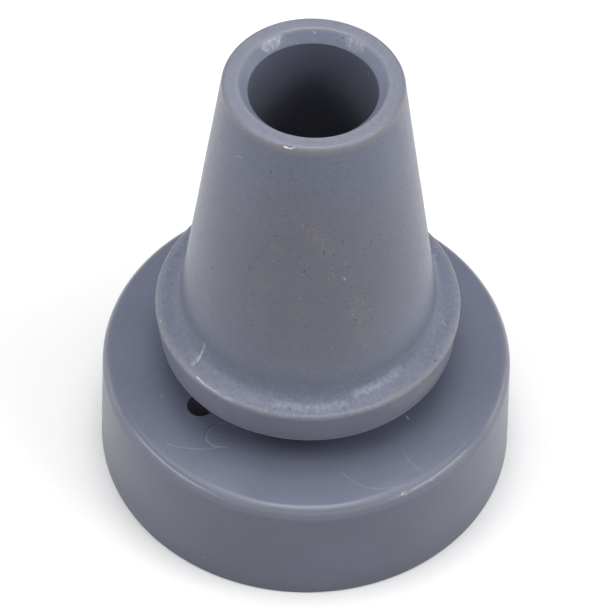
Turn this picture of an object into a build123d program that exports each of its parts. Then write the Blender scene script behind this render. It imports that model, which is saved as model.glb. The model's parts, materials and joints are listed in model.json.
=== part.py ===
from build123d import *
from math import floor, radians, tan
import os

# A rubber tip for a walking cane, moulded as one piece: a tapered socket for the tube, a flange round
# the socket's foot, a short flexible neck and a wide round base with a ring tread on its sole.
# Millimetres, +Z up along the tube. The origin is on the axis, in the plane of the sole.

# Heights, stacked from the sole up
base_height = 20.3
neck_height = 6.2
flange_thickness = 6.5
socket_height = 48.4

# Tube socket: the bore, its mouth and the tapered wall round it
bore_diameter = 19.0
bore_floor_thickness = 7.5
mouth_chamfer_width = 1.43
mouth_chamfer_depth = 1.8
rim_land_width = 2.34
rim_bevel = 0.3
socket_taper_angle = 8.25

# Flange at the socket's foot
flange_overhang = 3.7
flange_fillet = 2.65
flange_bevel = 0.45
flange_draft_angle = 5.5

# Neck between the flange and the base
neck_diameter = 28.0
neck_bevel = 1.5

# Base
base_foot_diameter = 67.0
base_draft_angle = 2.45
base_rim_round = 2.0

# Vent through the base, beside the neck; its bearing turns from +X towards +Y
vent_diameter = 4.2
vent_neck_gap = 3.0
vent_bearing_angle = 216.8

# Ring tread on the sole: one groove runs under the vent and the others a pitch apart
tread_pitch = 7.2
tread_groove_width = 3.0
tread_groove_depth = 2.0
tread_groove_draft_angle = 8.0
tread_centre_pad_radius = 4.0
tread_edge_land = 3.0

# How much of the wall beside it a rounded or bevelled corner may take up
wide_corner_share = 0.75
even_corner_share = 0.45
narrow_corner_share = 0.2

# Levels
flange_underside = base_height + neck_height
flange_top = flange_underside + flange_thickness
mouth_level = flange_top + socket_height
bore_floor = flange_underside + bore_floor_thickness

# Radii
bore_radius = bore_diameter / 2
mouth_radius = bore_radius + mouth_chamfer_width
rim_radius = mouth_radius + rim_land_width
socket_foot_radius = rim_radius + socket_height * tan(radians(socket_taper_angle))
flange_radius = socket_foot_radius + flange_overhang
flange_lower_radius = flange_radius - flange_thickness * tan(radians(flange_draft_angle))
neck_radius = neck_diameter / 2
base_foot_radius = base_foot_diameter / 2
base_top_radius = base_foot_radius - base_height * tan(radians(base_draft_angle))
vent_radius = vent_diameter / 2
vent_circle_radius = neck_radius + neck_bevel + vent_neck_gap + vent_radius


def corners():
    """Corners of the half section, from the sole's middle up and over the mouth: place, shape and size."""
    base_round = min(base_rim_round, base_height * even_corner_share)
    root_bevel = min(neck_bevel, neck_height * even_corner_share)
    edge_bevel = min(flange_bevel, flange_overhang * narrow_corner_share)
    socket_round = min(flange_fillet, flange_overhang * wide_corner_share)
    mouth_bevel = min(rim_bevel, rim_land_width * even_corner_share)
    return [
        ((0, 0), "round", 0),
        ((base_foot_radius, 0), "round", 0),
        ((base_top_radius, base_height), "round", base_round),
        ((neck_radius, base_height), "bevel", root_bevel),
        ((neck_radius, flange_underside), "bevel", root_bevel),
        ((flange_lower_radius, flange_underside), "round", 0),
        ((flange_radius, flange_top), "bevel", edge_bevel),
        ((socket_foot_radius, flange_top), "round", socket_round),
        ((rim_radius, mouth_level), "bevel", mouth_bevel),
        ((mouth_radius, mouth_level), "round", 0),
        ((bore_radius, mouth_level - mouth_chamfer_depth), "round", 0),
        ((bore_radius, bore_floor), "round", 0),
        ((0, bore_floor), "round", 0),
    ]


def outline():
    """Points of the half section and the radius at each, with every bevel as the two points at its ends."""
    rows = corners()
    points = []
    radii = []
    for before, (place, shape, size), after in zip(rows[-1:] + rows[:-1], rows, rows[1:] + rows[:1]):
        corner = Vector(place)
        if shape == "bevel":
            for neighbour in (before, after):
                points.append(corner + (Vector(neighbour[0]) - corner).normalized() * size)
                radii.append(0)
        else:
            points.append(corner)
            radii.append(size)
    return points, radii


def tread_radii():
    """Middle radii of the tread grooves that fit between the centre pad and the land at the sole's edge."""
    half_width = tread_groove_width / 2
    room_inside = vent_circle_radius - tread_centre_pad_radius - half_width
    room_outside = base_foot_radius - tread_edge_land - half_width - vent_circle_radius
    first = -floor(room_inside / tread_pitch)
    last = floor(room_outside / tread_pitch)
    return [vent_circle_radius + step * tread_pitch for step in range(first, last + 1)]


def section():
    """Half section of the moulding, with the tread grooves cut up into the sole."""
    points, radii = outline()
    with BuildSketch(Plane.XZ) as half:
        with BuildLine():
            FilletPolyline(points, radius=radii, close=True)
        make_face()
        with Locations([(radius, 0) for radius in tread_radii()]):
            Trapezoid(
                tread_groove_width,
                tread_groove_depth,
                90 - tread_groove_draft_angle,
                align=(Align.CENTER, Align.MIN),
                mode=Mode.SUBTRACT,
            )
    return half.sketch


def cane_tip():
    """The section turned about the tube's axis, with the vent drilled down through the base."""
    with BuildPart() as tip:
        revolve(section(), axis=Axis.Z)
        with Locations(Rotation(0, 0, vent_bearing_angle) * Pos(vent_circle_radius, 0, 0)):
            Cylinder(
                vent_radius,
                base_height,
                align=(Align.CENTER, Align.CENTER, Align.MIN),
                mode=Mode.SUBTRACT,
            )
    return tip.part


os.makedirs("parts", exist_ok=True)
export_step(cane_tip(), "parts/cane_tip.step")
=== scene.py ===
import json
import math

import bmesh
import bpy
import numpy as np
from mathutils import Matrix, Vector, noise
from mathutils.bvhtree import BVHTree


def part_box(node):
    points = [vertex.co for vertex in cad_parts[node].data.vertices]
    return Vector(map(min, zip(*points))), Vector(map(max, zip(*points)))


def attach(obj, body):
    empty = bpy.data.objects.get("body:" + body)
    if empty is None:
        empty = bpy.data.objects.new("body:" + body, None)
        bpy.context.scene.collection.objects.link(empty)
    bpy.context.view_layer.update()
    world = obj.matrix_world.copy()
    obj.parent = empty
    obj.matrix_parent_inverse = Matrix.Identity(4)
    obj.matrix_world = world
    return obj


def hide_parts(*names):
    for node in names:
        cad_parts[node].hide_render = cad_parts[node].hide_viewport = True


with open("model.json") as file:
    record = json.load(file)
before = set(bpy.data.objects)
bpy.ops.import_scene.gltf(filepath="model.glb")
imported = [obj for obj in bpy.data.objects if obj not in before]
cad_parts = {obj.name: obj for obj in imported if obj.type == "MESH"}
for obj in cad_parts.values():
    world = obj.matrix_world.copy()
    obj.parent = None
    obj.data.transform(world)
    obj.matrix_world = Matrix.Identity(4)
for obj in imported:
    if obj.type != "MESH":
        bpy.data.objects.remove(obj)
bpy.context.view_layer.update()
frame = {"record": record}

# Lengths are in metres, in the part's own frame: +Z up the tube's axis, the sole at zero.
# The rubber's nodes count in millimetres
MM = 0.001
NODE = "cane_tip"
PIECE = "cane_tip_rubber"
MOUNTS = {mount["name"]: mount for mount in frame["record"]["mounts"]}
_, HIGH_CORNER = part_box(NODE)

# Levels
MOUTH_LEVEL = HIGH_CORNER.z
MOUTH_CHAMFER_DEPTH = 1.8 * MM
CHAMFER_FOOT = MOUTH_LEVEL - MOUTH_CHAMFER_DEPTH
BORE_FLOOR = 34.0 * MM
FLANGE_TOP = 33.0 * MM
FLANGE_UNDERSIDE = 26.5 * MM
BASE_TOP = 20.3 * MM
BASE_FALL = 0.3 * MM
TREAD_DEPTH = 2.0 * MM

# Slopes of the drafted sides
SOCKET_DRAFT = math.tan(math.radians(8.25))
FLANGE_DRAFT = math.tan(math.radians(5.5))
BASE_DRAFT = math.tan(math.radians(2.45))
TREAD_DRAFT = math.tan(math.radians(8))

# Radii and widths
MOUTH_CHAMFER_WIDTH = 1.43 * MM
RIM_WIDTH = 2.34 * MM
FLANGE_WIDTH = 3.7 * MM
BORE_RADIUS = MOUNTS["tube_socket"]["dims"]["r_mm"] * MM
MOUTH_RADIUS = BORE_RADIUS + MOUTH_CHAMFER_WIDTH
RIM_RADIUS = MOUTH_RADIUS + RIM_WIDTH
SOCKET_FOOT_RADIUS = RIM_RADIUS + (MOUTH_LEVEL - FLANGE_TOP) * SOCKET_DRAFT
FLANGE_RADIUS = SOCKET_FOOT_RADIUS + FLANGE_WIDTH
FLANGE_LOWER_RADIUS = FLANGE_RADIUS - (FLANGE_TOP - FLANGE_UNDERSIDE) * FLANGE_DRAFT
NECK_RADIUS = 14.0 * MM
FOOT_RADIUS = HIGH_CORNER.x
BASE_TOP_RADIUS = FOOT_RADIUS - BASE_TOP * BASE_DRAFT
BASE_FALL_WIDTH = 4.2 * MM

# Vent beside the neck, and the tread grooves, one of which runs under it
VENT_RADIUS = 2.1 * MM
VENT_CIRCLE_RADIUS = 20.6 * MM
VENT_BEARING = math.radians(216.8)
VENT_CENTRE = (VENT_CIRCLE_RADIUS * math.cos(VENT_BEARING), VENT_CIRCLE_RADIUS * math.sin(VENT_BEARING))
TREAD_PITCH = 7.2 * MM
TREAD_STEPS = (-2, -1, 0, 1)
TREAD_HALF_WIDTH = 1.5 * MM
TREAD_FLOOR_HALF_WIDTH = TREAD_HALF_WIDTH - TREAD_DEPTH * TREAD_DRAFT

# Roundings of the corners
TREAD_ROUNDING = 0.2 * MM
FOOT_ROUNDING = 0.25 * MM
BASE_ROUNDING = 2.0 * MM
BASE_FALL_ROUNDING = 30.0 * MM
NECK_FILLET = 1.5 * MM
FLANGE_LOWER_ROUNDING = 0.3 * MM
FLANGE_ROUNDING = 0.6 * MM
FLANGE_FILLET = 3.4 * MM
RIM_ROUNDING = 0.8 * MM
MOUTH_ROUNDING = 0.5 * MM
CHAMFER_FOOT_ROUNDING = 0.3 * MM
BORE_FLOOR_FILLET = 0.6 * MM

# Fineness of the turned mesh, and the angle from which its edges are shaded sharp
COLUMNS = 280
ARC_STEP = math.radians(10)
SMALL_ARC_STEP = math.radians(30)
SMALL_ARC_RADIUS = 0.26 * MM
FINE_STEP = 0.45 * MM
MIDDLE_STEP = 0.8 * MM
COARSE_STEP = 2.5 * MM
SHARP_ANGLE = math.radians(40)

# Unevenness of the moulded skin, and of the flange's worn edge. It stays clear of the tread and the bore
SKIN_SWELL = 0.05 * MM
SKIN_WAVE = 11.0 * MM
EDGE_SWELL = 0.11 * MM
EDGE_WAVE = 1.6 * MM
EDGE_REACH = 1.2 * MM
TRUE_MARGIN = 1.0 * MM

# The photograph's frame and the camera that fits its edges
FRAME_PIXELS = 612
FOCAL_PIXELS = 2915.2
CAMERA_DISTANCE = 482.82 * MM
CAMERA_ELEVATION = math.radians(52.775)
CAMERA_ROLL = math.radians(1.495)
ORIGIN_PIXEL = (304.64, 424.01)
SENSOR_WIDTH = 36.0
CLIP_START = 10.0 * MM

# Witness of a mould pin on the base, by its middle's pixel
WITNESS_PIXEL = (217, 434)
WITNESS_RADIUS = 1.9 * MM
WITNESS_DEPTH = 0.07 * MM

# Cuts in the rubber: width and depth, then the pixels that each runs through
CUTS = {
    "rim_nick": (0.7 * MM, 0.12 * MM, [(282, 145), (285, 146.5), (290, 147.5),
                                       (294, 146.7), (297, 145.3)]),
    "fillet_gouge": (1.0 * MM, 0.16 * MM, [(191, 366), (195, 361), (199, 356), (202, 350), (204, 343)]),
    "crease_tear": (0.6 * MM, 0.12 * MM, [(196, 376), (201, 381), (206, 386), (213, 391)]),
    "base_rim_nick": (0.6 * MM, 0.08 * MM, [(401, 495), (405, 493), (410, 490)]),
}

# Fineness of the cutting shapes, and how far they reach out of the rubber
VENT_SIDES = 96
WITNESS_SIDES = 64
CUT_STEPS = 3
CUT_OVERRUN = 1.0 * MM

# Marks on the surface, by kind: width in mm and strength, then the pixels that each runs through

# Pale nicks, scratches and flecks, with painted highlights on the rim nick's lower edge and along the
# witness's edge
PALE_MARKS = {
    # The nick is a pale cut, and its near-white lower edge a painted highlight
    "rim_nick": (0.17, 0.9, [(284.5, 146.5), (288, 148.3), (291, 148.6), (294.5, 147)]),
    "fillet_gouge": (0.45, 0.22, [(192, 365), (196, 360), (199, 356)]),
    "fillet_gouge_core": (0.36, 0.45, [(197.5, 360), (200, 355), (202, 351)]),
    "fillet_gouge_tail": (0.4, 0.24, [(202, 351), (204.5, 344)]),
    "crease_tear": (0.19, 0.55, [(197, 377), (204, 383.5)]),
    "crease_tear_tail": (0.18, 0.38, [(204, 383.5), (214, 391)]),
    "crease_wear": (0.35, 0.13, [(214, 391), (222, 396), (232, 401)]),
    "chamfer_dot": (0.2, 0.25, [(314, 32), (315, 33)]),
    "bore_fleck": (0.18, 0.35, [(368, 73), (369, 76)]),
    "flow_line": (0.14, 0.10, [(166, 444), (180, 447.5), (195, 449), (208, 449), (224, 446.5)]),
    # Painted highlight along the lower edge of the pin's witness
    "witness_edge_highlight": (0.17, 0.17, [(222, 423), (215, 425.5), (209, 430), (206, 435),
                                  (206.5, 440), (210, 444), (216, 446.5), (226, 447)]),
    "witness_dot": (0.16, 0.15, [(214, 431), (215, 432)]),
    "arc_scratch": (0.14, 0.09, [(341, 472), (352, 481), (365, 487), (378, 489), (395, 487), (405, 484)]),
    "zigzag_scratch": (0.14, 0.08, [(401, 448), (404, 454), (408, 457),
                                    (409, 462), (414, 466), (417, 470)]),
    "zigzag_scuff": (0.5, 0.03, [(408, 460), (416, 467), (423, 472)]),
    "base_rim_nick": (0.17, 0.22, [(401.5, 494.5), (403, 493.5)]),
    "base_rim_dot": (0.2, 0.15, [(430, 481), (433, 480)]),
    "base_dot": (0.24, 0.5, [(407, 417), (408, 419)]),
    "base_left_dot": (0.2, 0.2, [(161, 396), (162, 397)]),
    "wall_dot": (0.2, 0.25, [(204, 557), (205, 558)]),
    "socket_scratch": (0.16, 0.18, [(236, 156), (242, 157)]),
    "side_streak": (0.4, 0.1, [(434, 255), (437, 285)]),
    "fillet_scuff": (0.25, 0.12, [(443, 320), (445, 325)]),
    "flange_dot": (0.2, 0.4, [(160, 320), (161, 321)]),
}

# Painted highlight bands in the flange's fillet
FILLET_HIGHLIGHT_MARKS = {
    "fillet_band_left": (1.2, 0.12, [(240, 393), (256, 399), (275, 403)]),
    "fillet_band_front": (0.9, 0.35, [(275, 404), (292, 407), (310, 409), (330, 407), (344, 404)]),
    "fillet_band_right": (1.1, 0.8, [(356, 393), (366, 389), (377, 384), (387, 377), (397, 368)]),
}

# Painted highlights on the mouth's chamfer
CHAMFER_HIGHLIGHT_MARKS = {
    "chamfer_left": (1.5, 0.74, [(267, 44), (275, 40.5)]),
    "chamfer_right": (1.4, 0.28, [(351, 42), (360, 45)]),
}

# Brown smudges and smears
WARM_MARKS = {
    "rim_smear": (1.0, 0.6, [(398, 108), (402, 128)]),
    "socket_smudge_a": (1.8, 0.5, [(312, 232), (320, 240)]),
    "socket_smudge_b": (1.2, 0.45, [(324, 246), (328, 252)]),
    "socket_smudge_c": (1.5, 0.35, [(270, 244), (278, 250)]),
    "socket_smudge_d": (1.3, 0.4, [(296, 313), (302, 318)]),
    "socket_smudge_e": (1.2, 0.35, [(330, 276), (336, 281)]),
    "socket_smudge_f": (1.3, 0.3, [(258, 284), (266, 287)]),
    "socket_smudge_g": (0.9, 0.7, [(358, 298), (361, 304)]),
    "socket_smudge_h": (1.4, 0.5, [(352, 313), (364, 318)]),
    "socket_smudge_i": (0.5, 0.7, [(404, 310), (408, 312)]),
    "socket_smudge_j": (1.5, 0.45, [(360, 330), (367, 345)]),
    "socket_left_smear": (1.5, 0.35, [(206, 300), (209, 322)]),
    "side_smear": (0.8, 0.4, [(430, 240), (433, 290)]),
    "crease_wear_a": (0.7, 0.5, [(395, 393), (415, 384), (432, 371)]),
    "crease_wear_b": (0.7, 0.45, [(432, 371), (448, 354), (458, 336)]),
    "crease_wear_c": (0.5, 0.35, [(212, 391), (240, 406), (270, 414)]),
}

# Wear on the right of the flange's side
BEIGE_MARKS = {
    "flange_side_a": (3.0, 0.42, [(398, 403), (409, 399), (420, 390)]),
    "flange_side_b": (3.0, 0.6, [(420, 390), (430, 381), (438, 371)]),
    "flange_side_c": (3.0, 0.4, [(438, 371), (444, 361), (451, 348)]),
}

# Dark specks
DARK_MARKS = {
    "socket_speck_a": (0.22, 0.7, [(271, 172), (271, 173)]),
    "socket_speck_b": (0.24, 0.7, [(212, 267), (213, 268)]),
    "socket_speck_c": (0.24, 0.6, [(324, 252), (324, 254)]),
    "socket_speck_d": (0.24, 0.5, [(355, 320), (356, 321)]),
    "socket_speck_e": (0.2, 0.5, [(275, 236), (278, 236)]),
    "chamfer_speck": (0.2, 0.5, [(342, 38), (344, 37)]),
    "flange_speck_a": (0.24, 0.5, [(446, 322), (447, 323)]),
    "flange_speck_b": (0.24, 0.5, [(434, 361), (437, 360)]),
    "flange_speck_c": (0.22, 0.5, [(344, 408), (345, 410)]),
    "flange_speck_d": (0.22, 0.5, [(289, 408), (290, 410)]),
    "wall_speck": (0.22, 0.5, [(118, 446), (119, 447)]),
}

# Share of a mark's width that has its full strength, and how far its line wanders in mm, fine or coarse
STROKE_CORE = 0.25
LOOSE_REACH = 0.25
RAGGED_REACH = 1.5

# Edges made paler by use and by painted edge highlights, and edges that use has made paler and warmer:
# radius, height, reach and strength
WORN_AND_HIGHLIGHT_EDGES = {
    "mouth": (MOUTH_RADIUS, MOUTH_LEVEL, 0.7 * MM, 0.28),
    "rim": (RIM_RADIUS, MOUTH_LEVEL, 0.7 * MM, 0.3),
    "bore": (BORE_RADIUS, CHAMFER_FOOT, 0.25 * MM, 0.4),
    "flange": (FLANGE_RADIUS - 0.3 * MM, FLANGE_TOP, 1.2 * MM, 0.38),
    "flange_underside": (FLANGE_LOWER_RADIUS, FLANGE_UNDERSIDE, 0.6 * MM, 0.62),
    "base": (BASE_TOP_RADIUS - 0.4 * MM, BASE_TOP - 0.6 * MM, 0.7 * MM, 0.2),
}
BEIGE_EDGES = {
    "rim": (RIM_RADIUS + 0.1 * MM, MOUTH_LEVEL - 0.6 * MM, 1.0 * MM, 0.5),
    "base": (BASE_TOP_RADIUS, BASE_TOP - 0.5 * MM, 1.7 * MM, 0.3),
    "flange_side": (FLANGE_RADIUS - 0.3 * MM, FLANGE_TOP - 3.5 * MM, 4.5 * MM, 0.16),
}

# Middle of the socket's front, which a dirt tint and painted shade darken
SOIL_AND_SHADE_PIXEL = (322, 285)

# Regions of the surface, by fades: what is measured, where the fade is at nothing and where it is at full
IN_BORE = [("radius", BORE_RADIUS + 0.5 * MM, BORE_RADIUS + 0.1 * MM),
           ("height", BORE_FLOOR - 1.5 * MM, BORE_FLOOR - 0.5 * MM)]
REGIONS = {
    # Painted light on the bore's upper wall, and painted shade that darkens the bore downward from near
    # the mouth
    "inside": IN_BORE,
    "deep": IN_BORE + [("height", MOUTH_LEVEL - 1.4 * MM, MOUTH_LEVEL - 15.4 * MM)],
    "chamfer": [("radius", BORE_RADIUS + 1.4 * MM, BORE_RADIUS + 1.1 * MM),
                ("height", MOUTH_LEVEL - 2.1 * MM, MOUTH_LEVEL - 1.6 * MM)],
    "rim": [("radius", BORE_RADIUS + 3.6 * MM, BORE_RADIUS + 3.1 * MM),
            ("height", MOUTH_LEVEL - 0.4 * MM, MOUTH_LEVEL - 0.1 * MM)],
    # The socket's front, darkened by a dirt tint and by painted shade
    "soil_and_shade": [("radius", BORE_RADIUS + 2.0 * MM, BORE_RADIUS + 3.0 * MM),
             ("height", FLANGE_TOP + 3.0 * MM, FLANGE_TOP + 7.0 * MM),
             ("from_soil_and_shade", 24.0 * MM, 8.0 * MM)],
    "fillet": [("height", FLANGE_TOP - 0.6 * MM, FLANGE_TOP - 0.1 * MM),
               ("height", FLANGE_TOP + 2.8 * MM, FLANGE_TOP + 0.4 * MM)],
    "neck": [("radius", NECK_RADIUS + 3.0 * MM, NECK_RADIUS + 1.0 * MM),
             ("height", FLANGE_UNDERSIDE + 1.5 * MM, FLANGE_UNDERSIDE)],
    "vent": [("from_vent", VENT_RADIUS + 0.2 * MM, VENT_RADIUS + 0.05 * MM),
             ("height", BASE_TOP - 0.3 * MM, BASE_TOP - 0.7 * MM)],
    "wall": [("radius", FOOT_RADIUS - 1.5 * MM, FOOT_RADIUS - 1.0 * MM),
             ("height", BASE_TOP - 1.0 * MM, BASE_TOP - 2.7 * MM)],
    "above_base": [("height", BASE_TOP + 1.2 * MM, BASE_TOP + 2.2 * MM)],
    "grained": [("height", BASE_TOP + 0.7 * MM, BASE_TOP + 6.7 * MM)],
}

# Noise patterns: waves in a mm and levels of detail.
# The shake moves marks about, and the streaks run down the section with a slow drift
PATTERNS = {
    "clusters": (0.22, 2),
    "mottle": (0.11, 3),
    "patches": (0.8, 2),
    "blotches": (1.5, 4),
    "grain": (2.4, 3),
}
SHAKE = (1.2, 2)
STREAKS = (3.0, 2)
STREAK_DRIFT = 0.15

# What a pattern leaves of a feature: the pattern, two of its values and the shares there
SHARES = {
    "pale": ("blotches", 0.35, 0.55, 0.5, 1.0),
    "warm": ("grain", 0.4, 0.62, 0.0, 1.0),
    "worn_and_highlight": ("blotches", 0.35, 0.6, 0.65, 1.0),
    "specks": ("clusters", 0.36, 0.5, 0.0, 1.0),
    "chamfer_streaks": ("streaks", 0.4, 0.7, 0.08, 0.3),
    "fillet_streaks": ("streaks", 0.35, 0.65, 0.35, 1.5),
    "fillet_blotches": ("blotches", 0.35, 0.65, 0.02, 0.2),
    "highlight_bands": ("blotches", 0.35, 0.6, 0.45, 1.0),
    "highlight_streaks": ("streaks", 0.4, 0.65, 0.45, 1.0),
    "highlight_blotches": ("blotches", 0.4, 0.6, 0.4, 1.0),
    "roughness": ("patches", 0.3, 0.7, 0.0, 0.07),
}

# Specks strewn over the socket's soiled and shaded front: spacing and size in mm, and share of the cells
# that hold one
GRIT = (1.1, 0.22, 0.75)
DUST = (1.5, 0.22, 0.5)
DUST_SHIFT = Vector((7.3, 1.9, 4.1))
SPECK_CORE = 0.4

# Base colours of the rubber, of what use does to it, and of painted light, shade and highlights
TONE_DEEP = (0.115, 0.127, 0.176, 1)
TONE_PALE = (0.178, 0.193, 0.260, 1)
# Painted shade deep in the bore
TONE_BORE_PAINTED_SHADE = (0.096, 0.100, 0.126, 1)
# Painted light: a pale tone that lifts the shade in the vent hole
TONE_VENT_PAINTED_LIGHT = (0.38, 0.36, 0.42, 1)
TONE_RIM_DEEP = (0.162, 0.173, 0.219, 1)
TONE_RIM_PALE = (0.219, 0.232, 0.289, 1)
TONE_CHAMFER = (0.177, 0.192, 0.261, 1)
# Painted light on the bore's upper wall
TONE_BORE_PAINTED_LIGHT = (0.174, 0.190, 0.252, 1)
# Darker copies of the rubber's tones on the base's wall: painted shade
TONE_WALL_SHADE_DEEP = (0.080, 0.091, 0.128, 1)
TONE_WALL_SHADE_PALE = (0.131, 0.144, 0.195, 1)
# Pale streaks, with painted sheen and painted highlight bands in the fillet
TONE_STREAK_AND_HIGHLIGHT = (0.26, 0.285, 0.38, 1)
# Edges paler by wear and painted edge highlights
TONE_WORN_AND_HIGHLIGHT = (0.315, 0.305, 0.33, 1)
TONE_BEIGE = (0.255, 0.235, 0.245, 1)
TONE_WARM = (0.215, 0.185, 0.165, 1)
# Dirt tint and painted shade on the socket's front
TONE_SOIL_AND_SHADE = (0.122, 0.121, 0.126, 1)
TONE_GRIT = (0.06, 0.056, 0.056, 1)
# Fresh cuts, pale flecks and dust, and painted highlights
TONE_FRESH_AND_HIGHLIGHT = (0.75, 0.76, 0.80, 1)

# How far each pattern moves the rubber between its deep and pale tones, and the base's share of the grain
MOTTLE_SHARE = 0.6
PATCH_SHARE = 0.3
GRAIN_SHARE = 1.2
BASE_GRAIN = 0.3

# How far some layers cover the rubber
SOIL_AND_SHADE_STRENGTH = 0.42
WALL_SHADE_STRENGTH = 0.9
GRIT_STRENGTH = 0.65
DUST_STRENGTH = 0.27

# Gloss: roughness of the base's top, what regions add to it, and the strength of reflections
BASE_ROUGHNESS = 0.175
MORE_ROUGHNESS = {"above_base": 0.135, "wall": 0.126, "fillet": 0.1, "neck": 0.3}
SPECULAR = 0.33

# Height of the fine relief in mm, by pattern
MOTTLE_RISE = 0.05
GRAIN_RISE = 0.012
STREAK_RISE = 0.03
BLOTCH_RISE = 0.045

# Soft lights: bearing and elevation in degrees, width and height in metres and power in watts
SOFTBOX_DISTANCE = 0.9
SOFTBOXES = {
    "top": (180, 88.5, 0.9, 0.9, 5.3),
    "top_core": (0, 89, 0.35, 0.35, 1.5),
    "left": (-90, 12, 0.35, 0.35, 0.1),
    "left_strip": (-75, 42, 0.6, 0.2, 2.5),
    "left_back": (-110, 12, 0.35, 0.35, 0.68),
    "right": (80, 15, 0.35, 0.35, 0.35),
    "right_strip": (70, 40, 0.55, 0.25, 2.85),
    "right_back": (110, 12, 0.35, 0.35, 0.9),
    "high_right": (88, 60, 0.35, 0.35, 0.4),
    "high_back": (180, 75, 0.35, 0.35, 1.05),
}
WORLD_TONE = (1, 1, 1, 1)
WORLD_STRENGTH = 0.08

# Floor
FLOOR_HALF_SIDE = 4.0
FLOOR_DROP = 0.05 * MM
FLOOR_TONE = (0.9, 0.9, 0.9, 1)
FLOOR_ROUGHNESS = 0.9


# Outline

def sole_corners():
    """Corners of the sole from its middle out: radius, height, rounding and longest step to the next."""
    groove = [(-TREAD_HALF_WIDTH, 0), (-TREAD_FLOOR_HALF_WIDTH, TREAD_DEPTH),
              (TREAD_FLOOR_HALF_WIDTH, TREAD_DEPTH), (TREAD_HALF_WIDTH, 0)]
    rows = [(0, 0, 0, COARSE_STEP)]
    for step in TREAD_STEPS:
        middle = VENT_CIRCLE_RADIUS + step * TREAD_PITCH
        rows += [(middle + across, up, TREAD_ROUNDING, COARSE_STEP) for across, up in groove]
    return rows


def body_corners():
    """Corners from the sole's edge up the outside, over the mouth and down the bore to its floor."""
    return [
        (FOOT_RADIUS, 0, FOOT_ROUNDING, MIDDLE_STEP),
        (BASE_TOP_RADIUS, BASE_TOP - BASE_FALL, BASE_ROUNDING, FINE_STEP),
        (BASE_TOP_RADIUS - BASE_FALL_WIDTH, BASE_TOP, BASE_FALL_ROUNDING, MIDDLE_STEP),
        (NECK_RADIUS, BASE_TOP, NECK_FILLET, MIDDLE_STEP),
        (NECK_RADIUS, FLANGE_UNDERSIDE, NECK_FILLET, MIDDLE_STEP),
        (FLANGE_LOWER_RADIUS, FLANGE_UNDERSIDE, FLANGE_LOWER_ROUNDING, MIDDLE_STEP),
        (FLANGE_RADIUS, FLANGE_TOP, FLANGE_ROUNDING, FINE_STEP),
        (SOCKET_FOOT_RADIUS, FLANGE_TOP, FLANGE_FILLET, MIDDLE_STEP),
        (RIM_RADIUS, MOUTH_LEVEL, RIM_ROUNDING, FINE_STEP),
        (MOUTH_RADIUS, MOUTH_LEVEL, MOUTH_ROUNDING, FINE_STEP),
        (BORE_RADIUS, CHAMFER_FOOT, CHAMFER_FOOT_ROUNDING, COARSE_STEP),
        (BORE_RADIUS, BORE_FLOOR, BORE_FLOOR_FILLET, COARSE_STEP),
        (0, BORE_FLOOR, 0, COARSE_STEP),
    ]


def corner_arc(before, corner, after, radius):
    """Points of the arc that rounds a corner off between its two sides."""
    if radius == 0:
        return [corner]
    side_in = (before - corner).normalized()
    side_out = (after - corner).normalized()
    half_angle = side_in.angle(side_out) / 2
    centre = corner + (side_in + side_out).normalized() * (radius / math.sin(half_angle))
    start = corner + side_in * (radius / math.tan(half_angle)) - centre
    turn = math.pi - 2 * half_angle
    if side_in.x * side_out.y - side_in.y * side_out.x > 0:
        turn = -turn
    step = SMALL_ARC_STEP if radius < SMALL_ARC_RADIUS else ARC_STEP
    count = max(2, math.ceil(abs(turn) / step))
    return [centre + Matrix.Rotation(turn * i / count, 2) @ start for i in range(count + 1)]


def outline():
    """Points of the half section, from the middle of the sole to the middle of the bore's floor."""
    rows = sole_corners() + body_corners()
    places = [Vector(row[:2]) for row in rows]
    points = [places[0]]
    for i in range(1, len(rows)):
        after = places[i + 1] if i + 1 < len(rows) else places[i]
        arc = corner_arc(places[i - 1], places[i], after, rows[i][2])
        run = arc[0] - points[-1]
        count = max(1, math.ceil(run.length / rows[i - 1][3]))
        points += [points[-1] + run * (k / count) for k in range(1, count)]
        points += arc
    return points


# Mesh

def turned_mesh(name, points):
    """The outline turned about Z, closed at both ends on the axis."""
    angles = np.arange(COLUMNS) * 2 * math.pi / COLUMNS
    rings = np.array([tuple(p) for p in points[1:-1]])
    verts = np.zeros((len(rings), COLUMNS, 3))
    verts[..., 0] = rings[:, :1] * np.cos(angles)
    verts[..., 1] = rings[:, :1] * np.sin(angles)
    verts[..., 2] = rings[:, 1:]
    ends = [(0, 0, points[0].y), (0, 0, points[-1].y)]
    first = len(rings) * COLUMNS
    last = first + 1
    top = first - COLUMNS
    faces = []
    for here in range(COLUMNS):
        beside = (here + 1) % COLUMNS
        faces.append((first, beside, here))
        for low in range(0, top, COLUMNS):
            high = low + COLUMNS
            faces.append((low + here, low + beside, high + beside, high + here))
        faces.append((top + here, top + beside, last))
    mesh = bpy.data.meshes.new(name)
    mesh.from_pydata(verts.reshape(-1, 3).tolist() + ends, [], faces)
    return mesh


def weather(mesh):
    """Slight swells in the moulded skin, and a ragged edge round the flange."""
    normals = [vertex.normal.copy() for vertex in mesh.vertices]
    for vertex, normal in zip(mesh.vertices, normals):
        place = vertex.co.copy()
        radius = math.hypot(place.x, place.y)
        in_tread = place.z < TREAD_DEPTH + TRUE_MARGIN
        in_bore = radius < BORE_RADIUS + TRUE_MARGIN and place.z > BORE_FLOOR - TRUE_MARGIN
        if in_tread or in_bore:
            continue
        from_edge = math.hypot(radius - FLANGE_RADIUS, place.z - FLANGE_TOP)
        ragged = EDGE_SWELL * max(0.0, 1 - from_edge / EDGE_REACH)
        swell = SKIN_SWELL * noise.noise(place / SKIN_WAVE) + ragged * noise.noise(place / EDGE_WAVE)
        vertex.co = place + normal * swell


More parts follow.
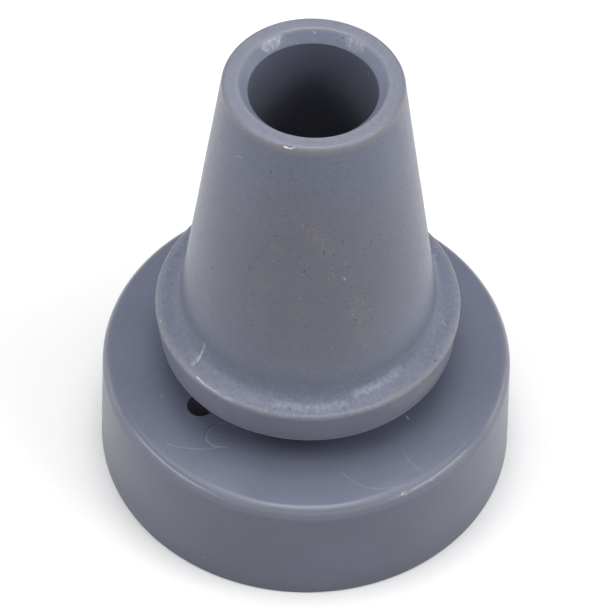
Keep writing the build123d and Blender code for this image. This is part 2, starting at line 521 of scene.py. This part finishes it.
def add_object(name, data):
    """An object for some data, in the scene."""
    item = bpy.data.objects.new(name, data)
    bpy.context.scene.collection.objects.link(item)
    return item


class Tracer:
    """Finds the points of a mesh that the camera sees at pixels of the photograph's frame."""

    def __init__(self, camera, mesh):
        self.eye = camera.matrix_world.translation
        self.turn = camera.matrix_world.to_3x3()
        corners = [vertex.co for vertex in mesh.vertices]
        self.tree = BVHTree.FromPolygons(corners, [tuple(p.vertices) for p in mesh.polygons])

    def at(self, pixel):
        """Point and normal under one pixel."""
        middle = FRAME_PIXELS / 2
        ray = self.turn @ Vector((pixel[0] - middle, middle - pixel[1], -FOCAL_PIXELS))
        point, normal, _, _ = self.tree.ray_cast(self.eye, ray.normalized())
        if point is None:
            raise ValueError(f"pixel {pixel} is off the object")
        return point, normal

    def along(self, pixels, steps):
        """Points and normals along a line of pixels, with some steps in each of its parts."""
        places = []
        for start, end in zip(pixels, pixels[1:]):
            for k in range(steps):
                places.append(Vector(start).lerp(Vector(end), k / steps))
        return [self.at(place) for place in places + [Vector(pixels[-1])]]


def add_sliver(cutter, stations, width, depth):
    """Adds a four-sided sliver that follows a line on the surface and tapers to both ends."""
    last = len(stations) - 1
    tip = cutter.verts.new(stations[0][0])
    ring = [tip] * 4
    for i in range(1, last):
        point, normal = stations[i]
        swell = math.sin(math.pi * i / last)
        run = stations[i + 1][0] - stations[i - 1][0]
        side = run.cross(normal).normalized() * (width / 2 * swell)
        deep = normal * (depth * swell)
        corners = [cutter.verts.new(point + offset) for offset in (side, -deep, -side, deep)]
        for k in range(4):
            face = [ring[k], ring[(k + 1) % 4], corners[(k + 1) % 4], corners[k]]
            cutter.faces.new(list(dict.fromkeys(face)))
        ring = corners
    tip = cutter.verts.new(stations[last][0])
    for k in range(4):
        cutter.faces.new((ring[k], ring[(k + 1) % 4], tip))


def add_drum(cutter, radius, centre, bottom, top, sides):
    """Adds an upright cylinder."""
    middle = Matrix.Translation((centre[0], centre[1], (bottom + top) / 2))
    bmesh.ops.create_cone(cutter, cap_ends=True, segments=sides, radius1=radius, radius2=radius,
                          depth=top - bottom, matrix=middle)


def cut(piece, cutter):
    """Takes the cutter's solids out of a piece."""
    bmesh.ops.recalc_face_normals(cutter, faces=cutter.faces)
    mesh = bpy.data.meshes.new("cutter")
    cutter.to_mesh(mesh)
    cutter.free()
    tool = add_object("cutter", mesh)
    modifier = piece.modifiers.new("cut", "BOOLEAN")
    modifier.operation = "DIFFERENCE"
    modifier.solver = "EXACT"
    modifier.object = tool
    result = piece.evaluated_get(bpy.context.evaluated_depsgraph_get())
    piece.data = bpy.data.meshes.new_from_object(result)
    piece.modifiers.clear()
    bpy.data.objects.remove(tool)


def make_tip(tracer, mesh):
    """The whole tip, with the vent, the witness and the cuts taken out of the turned mesh."""
    piece = add_object(PIECE, mesh)
    over_base = BASE_TOP + CUT_OVERRUN
    witness, _ = tracer.at(WITNESS_PIXEL)
    cutter = bmesh.new()
    add_drum(cutter, VENT_RADIUS, VENT_CENTRE, -CUT_OVERRUN, over_base, VENT_SIDES)
    add_drum(cutter, WITNESS_RADIUS, witness, BASE_TOP - WITNESS_DEPTH, over_base, WITNESS_SIDES)
    for width, depth, pixels in CUTS.values():
        add_sliver(cutter, tracer.along(pixels, CUT_STEPS), width, depth)
    cut(piece, cutter)
    for polygon in piece.data.polygons:
        polygon.use_smooth = True
    piece.data.set_sharp_from_angle(angle=SHARP_ANGLE)
    return piece


# Camera

def make_camera():
    """A camera that looks at the origin, rolled, then turned until the origin falls on its pixel."""
    back = Vector((0, -math.cos(CAMERA_ELEVATION), math.sin(CAMERA_ELEVATION)))
    across = math.atan((ORIGIN_PIXEL[0] - FRAME_PIXELS / 2) / FOCAL_PIXELS)
    down = math.atan((ORIGIN_PIXEL[1] - FRAME_PIXELS / 2) / FOCAL_PIXELS * math.cos(across))
    turn = (-back).to_track_quat("-Z", "Y").to_matrix() @ Matrix.Rotation(CAMERA_ROLL, 3, "Z")
    turn = turn @ Matrix.Rotation(down, 3, "X") @ Matrix.Rotation(across, 3, "Y")
    data = bpy.data.cameras.new("camera")
    data.sensor_width = SENSOR_WIDTH
    data.lens = FOCAL_PIXELS * SENSOR_WIDTH / FRAME_PIXELS
    data.clip_start = CLIP_START
    camera = add_object("camera", data)
    camera.matrix_world = Matrix.Translation(back * CAMERA_DISTANCE) @ turn.to_4x4()
    bpy.context.scene.camera = camera
    return camera


# Nodes

class Graph:
    """Short calls that add linked nodes to one node tree."""

    def __init__(self, tree):
        self.tree = tree

    def add(self, kind, inputs=None, **settings):
        """A node with its settings, and its inputs filled by values or by other nodes' sockets."""
        new = self.tree.nodes.new(kind if kind.startswith("Node") else "ShaderNode" + kind)
        for key, value in settings.items():
            setattr(new, key, value)
        for key, value in (inputs or {}).items():
            if isinstance(value, bpy.types.NodeSocket):
                self.tree.links.new(value, new.inputs[key])
            else:
                new.inputs[key].default_value = value
        return new

    def calc(self, operation, *values):
        """One operation on numbers."""
        return self.add("Math", dict(enumerate(values)), operation=operation).outputs[0]

    def vector(self, operation, *values):
        """One operation on vectors, which gives a number or a vector."""
        new = self.add("VectorMath", dict(enumerate(values)), operation=operation)
        return new.outputs["Value" if operation in ("LENGTH", "DISTANCE", "DOT_PRODUCT") else "Vector"]

    def join(self, operation, values):
        """Some numbers joined one after another by the same operation."""
        result = values[0]
        for value in values[1:]:
            result = self.calc(operation, result, value)
        return result

    def product(self, *values):
        """Some numbers multiplied together."""
        return self.join("MULTIPLY", values)

    def most(self, *values):
        """The greatest of some numbers."""
        return self.join("MAXIMUM", values)

    def ramp(self, value, first, second, start=0.0, end=1.0):
        """A smooth change from start, where the value is the first, to end, where it is the second."""
        inputs = {"Value": value, "From Min": first, "From Max": second, "To Min": start, "To Max": end}
        return self.add("MapRange", inputs, interpolation_type="SMOOTHSTEP").outputs["Result"]

    def noise(self, place, scale, detail, output="Fac"):
        """A noise pattern, as a number or as a colour."""
        return self.add("TexNoise", {"Vector": place, "Scale": scale, "Detail": detail}).outputs[output]

    def mix(self, amount, first, second):
        """The first colour turned into the second by an amount."""
        return self.add("Mix", {0: amount, 6: first, 7: second}, data_type="RGBA").outputs[2]


def stroke_group():
    """A node group that is 1 on the line from Start to End and falls to 0 at Width from it."""
    tree = bpy.data.node_groups.new("stroke", "ShaderNodeTree")
    for name, kind in (("Place", "Vector"), ("Start", "Vector"), ("End", "Vector"), ("Width", "Float")):
        tree.interface.new_socket(name, in_out="INPUT", socket_type="NodeSocket" + kind)
    tree.interface.new_socket("Amount", in_out="OUTPUT", socket_type="NodeSocketFloat")
    graph = Graph(tree)
    ask = graph.add("NodeGroupInput").outputs
    run = graph.vector("SUBTRACT", ask["End"], ask["Start"])
    away = graph.vector("SUBTRACT", ask["Place"], ask["Start"])
    forward = graph.vector("DOT_PRODUCT", away, run)
    whole = graph.vector("DOT_PRODUCT", run, run)
    share = graph.add("Clamp", {"Value": graph.calc("DIVIDE", forward, whole)}).outputs[0]
    spread = graph.add("CombineXYZ", {0: share, 1: share, 2: share}).outputs[0]
    nearest = graph.vector("MULTIPLY", run, spread)
    gap = graph.vector("DISTANCE", away, nearest)
    amount = graph.ramp(graph.calc("DIVIDE", gap, ask["Width"]), STROKE_CORE, 1.0, 1.0, 0.0)
    answer = graph.add("NodeGroupOutput")
    tree.links.new(amount, answer.inputs["Amount"])
    return tree


# Rubber

class Skin:
    """Places in mm, patterns, regions and marks of the rubber's surface, as sockets of its node tree."""

    def __init__(self, graph, tracer):
        self.graph = graph
        self.tracer = tracer
        self.stroke = stroke_group()
        even = Vector((1, 1, 1))
        self.place = graph.vector("MULTIPLY", graph.add("TexCoord").outputs["Object"], even / MM)
        parts = graph.add("SeparateXYZ", {0: self.place}).outputs
        level = graph.add("CombineXYZ", {0: parts["X"], 1: parts["Y"]}).outputs[0]
        self.measures = {
            "height": parts["Z"],
            "radius": graph.vector("LENGTH", level),
            "from_vent": graph.vector("DISTANCE", level, Vector((*VENT_CENTRE, 0)) / MM),
            "from_soil_and_shade": graph.vector("DISTANCE", self.place, tracer.at(SOIL_AND_SHADE_PIXEL)[0] / MM),
        }
        self.regions = {name: self.region(fades) for name, fades in REGIONS.items()}
        self.patterns = {name: graph.noise(self.place, *waves) for name, waves in PATTERNS.items()}
        self.patterns["streaks"] = self.streaks(graph.vector("NORMALIZE", level))
        self.grained = graph.calc("MULTIPLY_ADD", self.regions["grained"], 1 - BASE_GRAIN, BASE_GRAIN)
        shake = graph.vector("SUBTRACT", graph.noise(self.place, *SHAKE, "Color"), even / 2)
        fine_shake = graph.vector("MULTIPLY", shake, even * LOOSE_REACH)
        coarse_shake = graph.vector("MULTIPLY", shake, even * RAGGED_REACH)
        self.loose = graph.vector("ADD", self.place, fine_shake)
        self.ragged = graph.vector("ADD", self.place, coarse_shake)

    def region(self, fades):
        """How far a place is in a region."""
        rows = [(self.measures[kind], nothing / MM, full / MM) for kind, nothing, full in fades]
        return self.graph.product(*[self.graph.ramp(*row) for row in rows])

    def streaks(self, outward):
        """A pattern that changes fast round the axis and slowly along the section."""
        graph = self.graph
        turn = graph.vector("MULTIPLY", outward, Vector((1, 1, 0)) * (FLANGE_RADIUS / MM))
        along = graph.calc("ADD", self.measures["radius"], self.measures["height"])
        drift = graph.add("CombineXYZ", {2: graph.product(along, STREAK_DRIFT)}).outputs[0]
        return graph.noise(graph.vector("ADD", turn, drift), *STREAKS)

    def share(self, feature):
        """What a pattern leaves of a feature."""
        pattern, *values = SHARES[feature]
        return self.graph.ramp(self.patterns[pattern], *values)

    def marked(self, table, place):
        """How strongly a place is marked by any line of a table."""
        amounts = []
        for width, strength, pixels in table.values():
            points = [self.tracer.at(pixel)[0] / MM for pixel in pixels]
            for start, end in zip(points, points[1:]):
                inputs = {"Place": place, "Start": start, "End": end, "Width": width}
                stroke = self.graph.add("Group", inputs, node_tree=self.stroke).outputs["Amount"]
                amounts.append(self.graph.product(stroke, strength))
        return self.graph.most(*amounts)

    def edged(self, table):
        """How near a place is to any edge of a table."""
        graph = self.graph
        amounts = []
        for radius, height, reach, strength in table.values():
            across = graph.calc("SUBTRACT", self.measures["radius"], radius / MM)
            up = graph.calc("SUBTRACT", self.measures["height"], height / MM)
            gap = graph.vector("LENGTH", graph.add("CombineXYZ", {0: across, 1: up}).outputs[0])
            amounts.append(graph.ramp(gap, 0.0, reach / MM, strength, 0.0))
        return graph.most(*amounts)

    def specks(self, place, spacing, size, share):
        """Small dots strewn over the surface: one in each cell of some share of the cells."""
        graph = self.graph
        edge = size / spacing
        cells = graph.add("TexVoronoi", {"Vector": place, "Scale": 1 / spacing}).outputs
        chance = graph.add("SeparateColor", {0: cells["Color"]}).outputs[0]
        chosen = graph.calc("LESS_THAN", chance, share)
        return graph.product(chosen, graph.ramp(cells["Distance"], SPECK_CORE * edge, edge, 1.0, 0.0))


def rubber_tone(skin):
    """Where a place is between the deep and the pale tone: half way, moved by the patterns."""
    graph = skin.graph
    patterns = skin.patterns
    broad = graph.calc("MULTIPLY_ADD", patterns["mottle"], MOTTLE_SHARE, (1 - MOTTLE_SHARE) / 2)
    fine = graph.calc("MULTIPLY_ADD", patterns["patches"], PATCH_SHARE, -(GRAIN_SHARE + PATCH_SHARE) / 2)
    fine = graph.calc("MULTIPLY_ADD", patterns["grain"], GRAIN_SHARE, fine)
    return graph.calc("MULTIPLY_ADD", fine, skin.grained, broad)


def streaks_and_highlights(skin):
    """Pale streaks on the mouth's chamfer, and in the flange's fillet pale streaks with painted sheen and
    bands of painted highlight.
    """
    graph = skin.graph
    on_chamfer = graph.product(skin.regions["chamfer"], skin.share("chamfer_streaks"))
    streaks = graph.product(skin.share("fillet_blotches"), skin.share("fillet_streaks"))
    highlight_bands = graph.product(skin.marked(FILLET_HIGHLIGHT_MARKS, skin.ragged), skin.share("highlight_bands"))
    in_fillet = graph.product(skin.regions["fillet"], graph.calc("ADD", streaks, highlight_bands))
    return graph.most(on_chamfer, in_fillet)


def chamfer_highlight(skin):
    """Painted highlights on the mouth's chamfer, broken up by streaks and blotches."""
    patchy = skin.graph.product(skin.share("highlight_streaks"), skin.share("highlight_blotches"))
    return skin.graph.product(skin.marked(CHAMFER_HIGHLIGHT_MARKS, skin.ragged), patchy, skin.regions["chamfer"])


def rubber_colour(skin):
    """The rubber's own tones, region by region, with painted light and shade in some regions, and over
    them what use has done to it and painted highlights.
    """
    graph = skin.graph
    regions = skin.regions
    tone = rubber_tone(skin)
    clusters = graph.product(regions["soil_and_shade"], skin.share("specks"))
    grit = graph.product(skin.specks(skin.ragged, *GRIT), clusters, GRIT_STRENGTH)
    shifted = graph.vector("ADD", skin.ragged, DUST_SHIFT)
    dust = graph.product(skin.specks(shifted, *DUST), clusters, DUST_STRENGTH)
    pale = graph.product(skin.marked(PALE_MARKS, skin.loose), skin.share("pale"))
    layers = [
        # Dirt tint and painted shade on the socket's front
        (graph.product(regions["soil_and_shade"], SOIL_AND_SHADE_STRENGTH), TONE_SOIL_AND_SHADE),
        # Painted shade on the base's wall
        (graph.product(regions["wall"], WALL_SHADE_STRENGTH), graph.mix(tone, TONE_WALL_SHADE_DEEP, TONE_WALL_SHADE_PALE)),
        # Painted light in the vent hole
        (regions["vent"], TONE_VENT_PAINTED_LIGHT),
        # Painted light on the bore's upper wall, then painted shade down the bore
        (regions["inside"], TONE_BORE_PAINTED_LIGHT),
        (regions["deep"], TONE_BORE_PAINTED_SHADE),
        (regions["rim"], graph.mix(tone, TONE_RIM_DEEP, TONE_RIM_PALE)),
        (regions["chamfer"], TONE_CHAMFER),
        # Pale streaks, painted sheen and painted highlight bands
        (streaks_and_highlights(skin), TONE_STREAK_AND_HIGHLIGHT),
        # Painted highlights on the chamfer
        (chamfer_highlight(skin), TONE_FRESH_AND_HIGHLIGHT),
        (graph.most(skin.edged(BEIGE_EDGES), skin.marked(BEIGE_MARKS, skin.ragged)), TONE_BEIGE),
        # Edges paler by wear and painted edge highlights
        (graph.product(skin.edged(WORN_AND_HIGHLIGHT_EDGES), skin.share("worn_and_highlight")), TONE_WORN_AND_HIGHLIGHT),
        (graph.product(skin.marked(WARM_MARKS, skin.ragged), skin.share("warm")), TONE_WARM),
        (graph.most(skin.marked(DARK_MARKS, skin.loose), grit), TONE_GRIT),
        (graph.most(pale, dust), TONE_FRESH_AND_HIGHLIGHT),
    ]
    colour = graph.mix(tone, TONE_DEEP, TONE_PALE)
    for amount, layer in layers:
        colour = graph.mix(amount, colour, layer)
    return colour


def rubber_roughness(skin):
    """Satin, glossier on the base's top than elsewhere."""
    uneven = skin.share("roughness")
    rough = skin.graph.calc("MULTIPLY_ADD", skin.grained, uneven, BASE_ROUGHNESS)
    for name, more in MORE_ROUGHNESS.items():
        rough = skin.graph.calc("MULTIPLY_ADD", skin.regions[name], more, rough)
    return rough


def rubber_relief(skin):
    """Height of the grain and the mottling, and of the combing in the fillet and on the chamfer."""
    graph = skin.graph
    patterns = skin.patterns
    broad = graph.product(patterns["mottle"], MOTTLE_RISE)
    rise = graph.calc("MULTIPLY_ADD", graph.product(patterns["grain"], skin.grained), GRAIN_RISE, broad)
    blotches = graph.product(patterns["blotches"], BLOTCH_RISE)
    combing = graph.calc("MULTIPLY_ADD", patterns["streaks"], STREAK_RISE, blotches)
    combed = graph.most(skin.regions["fillet"], skin.regions["chamfer"])
    return graph.calc("MULTIPLY_ADD", combing, combed, rise)


def rubber(tracer):
    """Satin moulded rubber: mottled, grained, paler along its edges by wear and painted highlights,
    marked by use, with painted light and shade in some regions.
    """
    material = bpy.data.materials.new(PIECE)
    material.use_nodes = True
    shader = material.node_tree.nodes["Principled BSDF"]
    graph = Graph(material.node_tree)
    skin = Skin(graph, tracer)
    bump = graph.add("Bump", {"Height": rubber_relief(skin), "Distance": MM, "Strength": 1.0})
    graph.tree.links.new(rubber_colour(skin), shader.inputs["Base Color"])
    graph.tree.links.new(rubber_roughness(skin), shader.inputs["Roughness"])
    graph.tree.links.new(bump.outputs["Normal"], shader.inputs["Normal"])
    shader.inputs["Specular IOR Level"].default_value = SPECULAR
    return material


# Studio

def make_floor():
    """A wide pale square just under the sole."""
    half = FLOOR_HALF_SIDE
    corners = [(-half, -half, 0), (half, -half, 0), (half, half, 0), (-half, half, 0)]
    mesh = bpy.data.meshes.new("floor")
    mesh.from_pydata(corners, [], [(0, 1, 2, 3)])
    floor = add_object("floor", mesh)
    floor.location.z = -FLOOR_DROP
    material = bpy.data.materials.new("floor")
    material.use_nodes = True
    shader = material.node_tree.nodes["Principled BSDF"]
    shader.inputs["Base Color"].default_value = FLOOR_TONE
    shader.inputs["Roughness"].default_value = FLOOR_ROUGHNESS
    mesh.materials.append(material)


def add_softbox(name, bearing, elevation, width, height, power):
    """An oblong soft light that faces the object. Bearing 0 is the camera's side, and 90 is +X."""
    turn = math.radians(bearing)
    rise = math.radians(elevation)
    level = Vector((math.sin(turn), -math.cos(turn), 0))
    back = level * math.cos(rise) + Vector((0, 0, math.sin(rise)))
    data = bpy.data.lights.new(name, "AREA")
    data.shape = "RECTANGLE"
    data.size = width
    data.size_y = height
    data.energy = power
    light = add_object(name, data)
    light.location = Vector((0, 0, MOUTH_LEVEL / 2)) + back * SOFTBOX_DISTANCE
    light.rotation_mode = "QUATERNION"
    light.rotation_quaternion = (-back).to_track_quat("-Z", "Y")


def make_lights():
    """The soft lights, and a faint even light from all round."""
    for name, settings in SOFTBOXES.items():
        add_softbox(name, *settings)
    world = bpy.data.worlds.new("studio")
    world.use_nodes = True
    background = world.node_tree.nodes["Background"]
    background.inputs["Color"].default_value = WORLD_TONE
    background.inputs["Strength"].default_value = WORLD_STRENGTH
    bpy.context.scene.world = world
    bpy.context.scene.view_settings.view_transform = "Standard"


view = make_camera()
body = turned_mesh(PIECE, outline())
weather(body)
sight = Tracer(view, body)
tip = make_tip(sight, body)
tip.data.materials.clear()
tip.data.materials.append(rubber(sight))
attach(tip, "root")
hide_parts(NODE)
make_floor()
make_lights()
